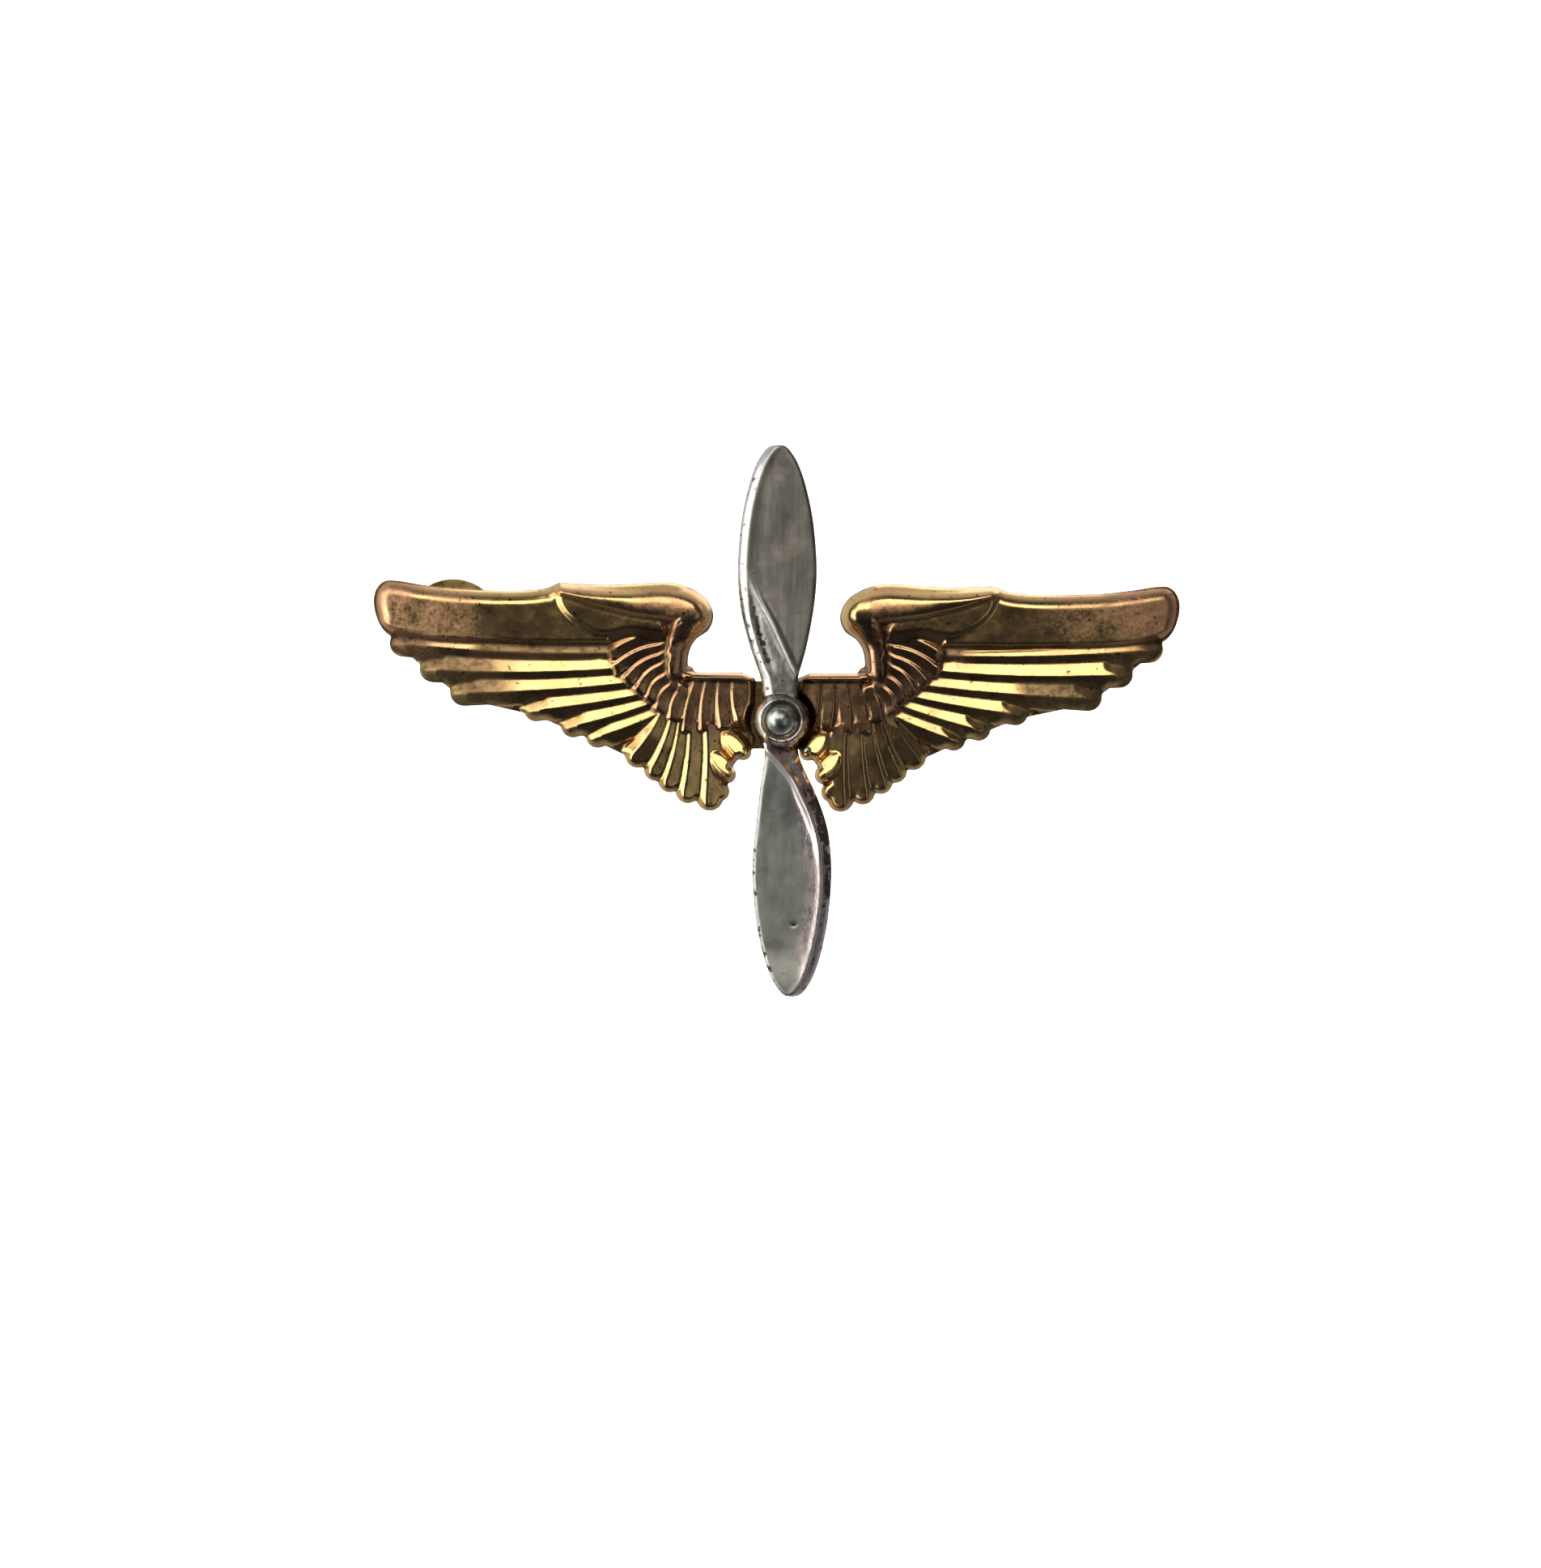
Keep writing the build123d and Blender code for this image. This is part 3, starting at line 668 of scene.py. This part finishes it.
def sculpt_propeller(x, z):
    """The propeller upright and centred on the hub's axis; it is tilted afterwards."""
    upper = z >= 0
    along = np.abs(z)
    stand = smoothstep(along, 0.3, 4.2)
    side = np.where(upper, -x - UPPER_SHIFT * stand, x - LOWER_SHIFT * stand)
    edge = half_width(along)
    ridge = np.where(upper, ridge_line(along, UPPER_RIDGE), ridge_line(along, LOWER_RIDGE))
    ridge = np.minimum(ridge, edge - BEVEL)
    band = np.where(upper, 0.0, BAND * smoothstep(along, 1.4, 4.0) * (1 - smoothstep(along, 8.0, 9.6)))
    strip = np.where(upper, edge - STRIP, ridge)
    front, back = blade_faces(side, along, ridge, band, strip, np.where(upper, UPPER_SLOPE, STRIP_SLOPE))
    slope = np.gradient(edge, axis=1) / np.maximum(np.abs(np.gradient(along, axis=1)), 1e-6)
    across = (np.abs(side) - edge) / np.sqrt(1 + np.clip(slope, -4, 4) ** 2)
    blades = np.where(along > BLADE_LENGTH, np.maximum(across, along - BLADE_LENGTH), across)
    from_axis = np.hypot(x - HUB_SHIFT, z)
    hub = from_axis - HUB_R
    outline = np.minimum(blades, hub)
    front = front - EDGE_DROP * (1 - rounded(blades, 0.14))
    boss = BRIDGE_FRONT + HUB_FOOT + (HUB_DEPTH - BRIDGE_FRONT - HUB_FOOT) * rounded(hub, 0.40)
    boss = boss - WELL_DROP * smoothstep(WELL_R - from_axis, 0.0, 0.16)
    on_hub = np.where(blades < 0, np.maximum(front * (from_axis > WELL_R), boss), boss)
    front = np.where(hub < 0, on_hub, front)
    back = np.where(hub < 0.25, np.minimum(back, BRIDGE_FRONT + 1.6 * np.maximum(hub, 0)), back)
    back = np.maximum(back, BRIDGE_FRONT)
    back = np.minimum(back, front - 0.06)
    below = np.where(upper, 0.0, 1.0)
    pits, groove = blade_wear(x, z, side, along, ridge, edge, blades, below)
    streak = value_noise(x, z * 0.12, 0.16, 12)
    front = front + 0.004 * streak - 0.02 * pits * (value_noise(x, z, 0.14, 14) + 1) - 0.08 * groove
    # Painted shade in the propeller's hollows, and a painted shadow on the boss beside the rivet.
    recess_shade = soften(front, 20) - front
    recess_shade = recess_shade + 0.07 * np.exp(-(np.hypot(x - BOSS_SHADE[0], z - BOSS_SHADE[1]) / BOSS_SHADE[2]) ** 2)
    # Paler colour on the bevels and on the band beside the rim, partly painted highlight; the thin line along
    # the ridge near the root is a painted highlight.
    pale = np.maximum(smoothstep(side - strip, -0.05, 0.08), (ridge - side < band) * below)
    pale = np.maximum(pale, np.exp(-((side - ridge + 0.08) / 0.09) ** 2) * (1 - smoothstep(along, 3.6, 5.0)))
    return {"outline": outline, "front": front, "back": back, "recess_shade": recess_shade,
            "pits": np.maximum(pits, groove), "bevel": soften(pale, 2), "upper": upper.astype(float)}


# ---------------------------------------------------------------- materials

class Shader:
    """Short calls for building a material's nodes."""

    def __init__(self, name):
        self.material = bpy.data.materials.new(name)
        self.material.use_nodes = True
        self.tree = self.material.node_tree
        self.principled = self.tree.nodes["Principled BSDF"]
        self.place = self.node("ShaderNodeTexCoord").outputs["Object"]

    def node(self, kind, **settings):
        made = self.tree.nodes.new(kind)
        for key, value in settings.items():
            setattr(made, key, value)
        return made

    def link(self, value, socket):
        if isinstance(value, bpy.types.NodeSocket):
            self.tree.links.new(value, socket)
        else:
            socket.default_value = value

    def noise(self, size_mm, detail=3.0, rough=0.55, stretch=(1, 1, 1), seed=0.0):
        move = self.node("ShaderNodeMapping")
        self.link(self.place, move.inputs["Vector"])
        move.inputs["Scale"].default_value = [s / (size_mm * MM) for s in stretch]
        move.inputs["Location"].default_value = (seed, seed * 0.7, seed * 1.3)
        made = self.node("ShaderNodeTexNoise")
        self.link(move.outputs[0], made.inputs["Vector"])
        made.inputs["Scale"].default_value = 1.0
        made.inputs["Detail"].default_value = detail
        made.inputs["Roughness"].default_value = rough
        return made.outputs["Fac"]

    def attribute(self, name):
        return self.node("ShaderNodeAttribute", attribute_name=name).outputs["Fac"]

    def remap(self, value, low, high, to_low=0.0, to_high=1.0):
        made = self.node("ShaderNodeMapRange")
        self.link(value, made.inputs["Value"])
        for key, number in (("From Min", low), ("From Max", high), ("To Min", to_low), ("To Max", to_high)):
            made.inputs[key].default_value = number
        return made.outputs["Result"]

    def math(self, operation, a, b):
        made = self.node("ShaderNodeMath", operation=operation)
        self.link(a, made.inputs[0])
        self.link(b, made.inputs[1])
        return made.outputs[0]

    def mix(self, factor, a, b):
        made = self.node("ShaderNodeMix", data_type="RGBA")
        self.link(factor, made.inputs["Factor"])
        self.link((*a, 1.0) if isinstance(a, tuple) else a, made.inputs["A"])
        self.link((*b, 1.0) if isinstance(b, tuple) else b, made.inputs["B"])
        return made.outputs["Result"]

    def bump(self, height, distance_mm):
        made = self.node("ShaderNodeBump")
        made.inputs["Strength"].default_value = 1.0
        made.inputs["Distance"].default_value = distance_mm * MM
        self.link(height, made.inputs["Height"])
        self.link(made.outputs["Normal"], self.principled.inputs["Normal"])

    def finish(self, color, roughness, metallic=1.0):
        self.link(color, self.principled.inputs["Base Color"])
        self.link(roughness, self.principled.inputs["Roughness"])
        self.link(metallic, self.principled.inputs["Metallic"])
        return self.material


GOLD = (0.93, 0.64, 0.24)
WARM_GOLD = (0.86, 0.52, 0.23)
COPPER = (0.70, 0.34, 0.21)
BROWN = (0.42, 0.21, 0.13)
OLIVE = (0.34, 0.28, 0.10)
TARNISH_AND_SHADE = (0.15, 0.10, 0.058)
SOOT_AND_SHADE = (0.060, 0.040, 0.025)


def gilt_material():
    """Gilding over struck brass: coppery where it has worn thin, with painted shade in the grooves and
    hollows, primaries' faces dulled partly by tarnish and partly by painted shade, and dark specks.
    """
    s = Shader("tarnished_gilt")
    cloud = s.noise(2.2, 4)
    color = s.mix(s.remap(cloud, 0.42, 0.62), GOLD, WARM_GOLD)
    brown = s.math("MULTIPLY", s.attribute("brown"), s.remap(s.noise(0.8, 4, seed=12.0), 0.3, 0.6, 0.5, 0.9))
    color = s.mix(brown, color, BROWN)
    copper = s.attribute("copper")
    patch = s.math("MULTIPLY", copper, s.remap(s.noise(1.1, 5, 0.6, seed=4.0), 0.28, 0.52, 0.25, 1.0))
    color = s.mix(s.math("MULTIPLY", patch, 0.85), color, COPPER)
    # Tarnish and painted shade on the primaries' faces: darker, mottled and rougher where they catch no
    # light.
    tarnish_and_shade_mottle = s.remap(s.noise(0.25, 5, 0.65, seed=14.0), 0.38, 0.56, 1.0, 0.72)
    dull = s.math("MULTIPLY", s.attribute("dull"), tarnish_and_shade_mottle)
    color = s.mix(s.math("MULTIPLY", dull, 0.92), color, TARNISH_AND_SHADE)
    # Painted shade in the hollows and creases: mixed towards the dark soot-and-shade colour, with a little
    # more roughness.
    groove = s.remap(s.attribute("recess_shade"), 0.012, 0.085)
    groove = s.math("MULTIPLY", groove, s.remap(s.noise(0.5, 4, seed=2.0), 0.25, 0.6, 0.55, 1.0))
    color = s.mix(s.math("MULTIPLY", groove, 0.8), color, SOOT_AND_SHADE)
    film = s.remap(s.noise(0.9, 4, 0.55, seed=8.0), 0.45, 0.75)
    color = s.mix(s.math("MULTIPLY", film, 0.45), color, OLIVE)
    speck = s.remap(s.noise(0.18, 3, 0.55, seed=6.0), 0.645, 0.70)
    color = s.mix(s.math("MULTIPLY", speck, 0.85), color, SOOT_AND_SHADE)
    rough = s.remap(s.noise(0.9, 4, seed=3.0), 0.3, 0.7, 0.13, 0.22)
    grain = s.remap(s.noise(0.13, 4, 0.6, seed=18.0), 0.3, 0.7, 0.10, 0.42)
    rough = s.math("ADD", rough, s.math("MULTIPLY", patch, grain))
    rough = s.math("ADD", rough, s.math("MULTIPLY", dull, 0.34))
    rough = s.math("ADD", rough, s.math("MULTIPLY", groove, 0.22))
    s.bump(s.noise(0.10, 4, 0.55, seed=9.0), 0.0032)
    return s.finish(color, rough)


SILVER = (0.78, 0.78, 0.72)
PINK_SILVER = (0.95, 0.81, 0.73)
LIT_GREY_GREEN = (0.46, 0.465, 0.40)
SHADED_BROWN_GREY = (0.26, 0.24, 0.20)
PIT_AND_SHADE = (0.045, 0.038, 0.032)


def silver_material():
    """Dulled silver plate: the upper blade painted a darker brown-grey and the lower one a lighter green-grey
    as painted reflection, pinkish bevels that are partly painted highlight, painted shade in the hollows, and
    dark pits.
    """
    s = Shader("dulled_silver")
    # Painted reflection: the upper blade is painted darker brown-grey and the lower one lighter green-grey,
    # one plate as if in two lights.
    upper = s.attribute("upper")
    flat = s.mix(upper, LIT_GREY_GREEN, SHADED_BROWN_GREY)
    streak = s.remap(s.noise(0.35, 4, stretch=(1, 1, 0.10), seed=1.0), 0.48, 0.72)
    flat = s.mix(s.math("MULTIPLY", streak, 0.30), flat, SILVER)
    slant = s.mix(upper, PINK_SILVER, SILVER)
    color = s.mix(s.attribute("bevel"), flat, slant)
    cloud = s.remap(s.noise(1.3, 5, seed=5.0), 0.5, 0.72)
    color = s.mix(s.math("MULTIPLY", cloud, 0.3), color, PINK_SILVER)
    # Painted shade in the hollows, in the same dark colour as the pits.
    groove = s.remap(s.attribute("recess_shade"), 0.015, 0.09)
    color = s.mix(s.math("MULTIPLY", groove, 0.75), color, PIT_AND_SHADE)
    mottle = s.remap(s.noise(0.24, 4, 0.6, seed=15.0), 0.3, 0.7, -0.6, 0.6)
    pit = s.remap(s.math("ADD", s.attribute("pits"), mottle), 0.52, 0.80)
    color = s.mix(s.math("MULTIPLY", pit, 0.9), color, PIT_AND_SHADE)
    speck = s.remap(s.noise(0.10, 3, seed=7.0), 0.69, 0.73)
    color = s.mix(s.math("MULTIPLY", speck, 0.7), color, PIT_AND_SHADE)
    rough = s.remap(s.noise(0.6, 4, seed=3.0), 0.3, 0.7, 0.38, 0.50)
    rough = s.math("SUBTRACT", rough, s.math("MULTIPLY", s.attribute("bevel"), 0.16))
    rough = s.math("ADD", rough, s.math("MULTIPLY", pit, 0.3))
    s.bump(s.noise(0.10, 5, 0.6, stretch=(1, 1, 0.35), seed=9.0), 0.006)
    return s.finish(color, rough)


def plain_metal(name, bright, dull, rough_low, rough_high, size_mm):
    """A findings metal: two tones, fine grain and a few dark specks."""
    s = Shader(name)
    cloud = s.remap(s.noise(size_mm, 5, 0.6), 0.38, 0.64)
    color = s.mix(cloud, bright, dull)
    speck = s.remap(s.noise(0.11, 3, seed=6.0), 0.66, 0.71)
    color = s.mix(s.math("MULTIPLY", speck, 0.8), color, SOOT_AND_SHADE)
    rough = s.remap(s.noise(size_mm * 0.4, 4, seed=2.0), 0.3, 0.7, rough_low, rough_high)
    s.bump(s.noise(0.07, 4, 0.6, seed=5.0), 0.004)
    return s.finish(color, rough)


# ---------------------------------------------------------------- build the pieces

gilt = gilt_material()
silver = silver_material()
findings_brass = plain_metal("findings_brass", (0.78, 0.58, 0.27), (0.45, 0.31, 0.14), 0.24, 0.42, 0.8)
pad_brass = plain_metal("pad_brass", (0.84, 0.62, 0.25), (0.40, 0.30, 0.12), 0.22, 0.40, 1.0)
nickel = plain_metal("nickel_wire", (0.66, 0.64, 0.58), (0.40, 0.38, 0.33), 0.20, 0.36, 0.5)
dull_silver = plain_metal("rivet_silver", (0.62, 0.66, 0.58), (0.34, 0.35, 0.30), 0.22, 0.40, 0.35)

wings = relief_solid("wings_relief", ((-14.6, 14.6), (-4.4, 4.3)), 0.038, sculpt_wings)
wings.data.materials.append(gilt)
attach(wings, "badge")
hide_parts("wings_plate")

blades = relief_solid("propeller_blades", ((-1.8, 2.1), (-9.95, 9.95)), 0.04, sculpt_propeller, rim_passes=24)
blades.data.materials.append(silver)
turn = np.array([[math.cos(PROP_TILT), -math.sin(PROP_TILT)], [math.sin(PROP_TILT), math.cos(PROP_TILT)]])
for vertex in blades.data.vertices:
    tilted = turn @ np.array([vertex.co.x, vertex.co.z])
    vertex.co.x = tilted[0] + HUB_X * MM
    vertex.co.z = tilted[1] + HUB_Z * MM
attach(blades, "badge")
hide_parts("propeller")

FINISHES = {
    "hub_rivet": dull_silver,
    "rivet_burr": findings_brass,
    "solder_bead": dull_silver,
    "hinge_pad": pad_brass,
    "hinge_bracket": findings_brass,
    "hinge_pin": nickel,
    "stem_knuckle": findings_brass,
    "pin_wire": nickel,
    "catch_pad": pad_brass,
    "catch_housing": findings_brass,
    "catch_rotor": findings_brass,
}
for node, material in FINISHES.items():
    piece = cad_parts[node]
    piece.data.materials.clear()
    piece.data.materials.append(material)
    weld = piece.modifiers.new("weld", "WELD")
    weld.merge_threshold = 0.001 * MM
    bevel = piece.modifiers.new("worn_edges", "BEVEL")
    bevel.width = 0.035 * MM
    bevel.segments = 2
    bevel.limit_method = "ANGLE"
    bevel.angle_limit = math.radians(40)


# ---------------------------------------------------------------- stage, light and camera

FLOOR_DROP = 0.25         # the floor lies this far under the badge, in metres
FLOOR_GLOW = 0.9          # keeps the floor and its curve evenly pale from every side
BOWL_R = 0.9              # radius of the floor with its curve, radius of the curve, height of the wall
BOWL_CURVE = 0.35
BOWL_HEIGHT = 1.1
CURVE_STEPS = 12
AROUND = 96               # corners in each ring of the floor


def pale_floor():
    """A round floor that curves up into a wall on every side."""
    low = cad_box[0][2] - FLOOR_DROP
    profile = [(0.0, 0.0), (BOWL_R - BOWL_CURVE, 0.0)]
    for k in range(1, CURVE_STEPS + 1):
        a = math.radians(90 * k / CURVE_STEPS)
        profile.append((BOWL_R - BOWL_CURVE + BOWL_CURVE * math.sin(a), BOWL_CURVE * (1 - math.cos(a))))
    profile.append((BOWL_R, BOWL_HEIGHT))
    verts = [(r * math.cos(2 * math.pi * k / AROUND), r * math.sin(2 * math.pi * k / AROUND), low + h)
             for r, h in profile[1:] for k in range(AROUND)]
    verts.append((0, 0, low))
    faces = []
    for ring in range(len(profile) - 2):
        for k in range(AROUND):
            a, b = ring * AROUND + k, ring * AROUND + (k + 1) % AROUND
            faces.append([a, b, b + AROUND, a + AROUND])
    faces += [[len(verts) - 1, k, (k + 1) % AROUND] for k in range(AROUND)]
    mesh = bpy.data.meshes.new("pale_floor")
    mesh.from_pydata(verts, [], faces)
    mesh.shade_smooth()
    floor = bpy.data.objects.new("pale_floor", mesh)
    bpy.context.scene.collection.objects.link(floor)
    s = Shader("pale_cloth")
    tone = s.remap(s.noise(60.0, 2), 0.3, 0.7)
    color = s.mix(tone, (0.86, 0.86, 0.86), (0.90, 0.90, 0.89))
    s.link(color, s.principled.inputs["Emission Color"])
    s.principled.inputs["Emission Strength"].default_value = FLOOR_GLOW
    mesh.materials.append(s.finish(color, 0.9, 0.0))
    floor.visible_glossy = False


def softbox(name, azimuth, elevation, distance, width, height, radiance, color):
    """A lamp aimed at the badge. Azimuth 0 is in front of it and negative is to the viewer's left."""
    lamp = bpy.data.lights.new(name, "AREA")
    lamp.shape = "RECTANGLE"
    lamp.size = width
    lamp.size_y = height
    lamp.energy = radiance * math.pi * width * height
    lamp.color = color
    holder = bpy.data.objects.new(name, lamp)
    a, e = math.radians(azimuth), math.radians(elevation)
    way = Vector((math.sin(a) * math.cos(e), -math.cos(a) * math.cos(e), math.sin(e)))
    holder.location = way * distance
    holder.rotation_euler = way.to_track_quat("Z", "Y").to_euler()
    bpy.context.scene.collection.objects.link(holder)


ROOM_FRONT = 0.030        # strength of the room's light in front of the badge and behind it
ROOM_BACK = 0.60
ROOM_BELOW = 0.45         # how much of it is left towards the lower right
FRONT_TONE = (0.85, 0.95, 1.35)
BACK_TONE = (1.0, 0.97, 0.92)


def world_light():
    """Room light for reflections: dim in front of the badge, where the viewer stands, and paler behind it."""
    world = bpy.data.worlds.new("room")
    bpy.context.scene.world = world
    world.use_nodes = True
    tree = world.node_tree
    tree.nodes.clear()
    out = tree.nodes.new("ShaderNodeOutputWorld")
    way = tree.nodes.new("ShaderNodeTexCoord")
    parts = tree.nodes.new("ShaderNodeSeparateXYZ")
    tree.links.new(way.outputs["Generated"], parts.inputs[0])

    def ramp(value, low, high, to_low, to_high):
        made = tree.nodes.new("ShaderNodeMapRange")
        made.interpolation_type = "SMOOTHSTEP"
        for key, number in (("From Min", low), ("From Max", high), ("To Min", to_low), ("To Max", to_high)):
            made.inputs[key].default_value = number
        tree.links.new(value, made.inputs["Value"])
        return made.outputs["Result"]

    above = tree.nodes.new("ShaderNodeMath")
    above.operation = "SUBTRACT"
    tree.links.new(parts.outputs["Z"], above.inputs[0])
    tree.links.new(parts.outputs["X"], above.inputs[1])
    behind = ramp(parts.outputs["Y"], -0.75, 0.75, 0.0, 1.0)
    light = tree.nodes.new("ShaderNodeMath")
    light.operation = "MULTIPLY"
    tree.links.new(ramp(behind, 0.0, 1.0, ROOM_FRONT, ROOM_BACK), light.inputs[0])
    tree.links.new(ramp(above.outputs[0], -0.9, 0.8, ROOM_BELOW, 1.0), light.inputs[1])
    tone = tree.nodes.new("ShaderNodeMix")
    tone.data_type = "RGBA"
    tone.inputs["A"].default_value = (*FRONT_TONE, 1)
    tone.inputs["B"].default_value = (*BACK_TONE, 1)
    tree.links.new(behind, tone.inputs["Factor"])
    room = tree.nodes.new("ShaderNodeBackground")
    tree.links.new(tone.outputs["Result"], room.inputs["Color"])
    tree.links.new(light.outputs[0], room.inputs["Strength"])
    tree.links.new(room.outputs[0], out.inputs["Surface"])


pale_floor()
world_light()

# Lamps: name, azimuth, elevation, distance, width, height, radiance, colour.
LAMPS = [
    ("window", -6, 30, 0.55, 0.50, 0.26, 2.3, (1.0, 0.97, 0.91)),
    ("high_left", -48, 45, 0.55, 0.30, 0.36, 1.5, (1.0, 0.98, 0.95)),
    ("low_right", 38, -12, 0.55, 0.30, 0.40, 0.30, (0.95, 0.98, 1.0)),
    ("low_left", -55, -20, 0.55, 0.28, 0.28, 1.6, (0.97, 0.99, 1.0)),
    ("side", -64, 6, 0.55, 0.50, 0.44, 2.3, (0.98, 0.99, 1.0)),
    ("behind", 160, 30, 0.6, 0.5, 0.4, 1.0, (1.0, 0.98, 0.95)),
]
for lamp_values in LAMPS:
    softbox(*lamp_values)

VIEW_DISTANCE = 0.25      # from the front of the badge to the camera, in metres
BADGE_FRONT = 2.6 * MM
AIM_X = -0.00017          # middle of the picture
AIM_Z = -0.00315
CAMERA_ROLL = math.radians(-0.47)
FRAME_HEIGHT = 0.05551    # height of the picture at the badge, in metres
SENSOR = 36.0
camera = bpy.data.cameras.new("camera")
camera.sensor_width = SENSOR
camera.lens = SENSOR * VIEW_DISTANCE / FRAME_HEIGHT
camera.clip_start = 0.01
camera.clip_end = 10
eye = bpy.data.objects.new("camera", camera)
eye.location = (AIM_X, -VIEW_DISTANCE - BADGE_FRONT, AIM_Z)
eye.rotation_euler = (math.radians(90), CAMERA_ROLL, 0)
bpy.context.scene.collection.objects.link(eye)
bpy.context.scene.camera = eye
bpy.context.scene.view_settings.view_transform = "Standard"
